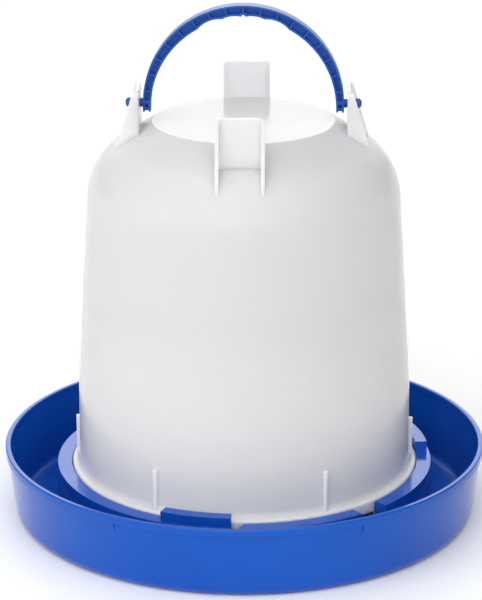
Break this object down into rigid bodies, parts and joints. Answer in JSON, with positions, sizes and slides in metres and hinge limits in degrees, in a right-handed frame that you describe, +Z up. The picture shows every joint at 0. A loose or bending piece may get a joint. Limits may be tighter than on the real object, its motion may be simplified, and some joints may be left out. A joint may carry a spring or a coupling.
{
  "type": "poultry waterer fount",
  "caption": "Siphon drinker for poultry: milky reservoir locked by a bayonet twist in a round blue drinking tray, with a ribbed swinging carry handle.",
  "frame": {"origin": "middle of the tray's underside, on the ground", "axes": "+Z up along the tank's axis; the front faces -Y; the handle's pivot axis is parallel to X"},
  "size_m": [0.3704, 0.3704, 0.3978],
  "materials": {
    "tray_blue": "glossy injection-moulded polypropylene, mid blue",
    "tank_milky": "translucent milky-white polyethylene, smooth, soft gloss",
    "handle_blue": "satin injection-moulded polypropylene, deep blue"
  },
  "bodies": {
    "tray": {"tray": "tray_blue"},
    "tank": {"tank": "tank_milky"},
    "handle": {"handle": "handle_blue"}
  },
  "joints": [
    {"name": "tank_twist", "type": "hinge", "parent": "tray", "child": "tank", "pos_m": [0, 0, 0.03], "axis": [0, 0, 1], "range_deg": [0, 38.7]},
    {"name": "handle_swing", "type": "hinge", "parent": "tank", "child": "handle", "pos_m": [0, 0, 0.3228], "axis": [1, 0, 0], "range_deg": [-95, 95]}
  ]
}
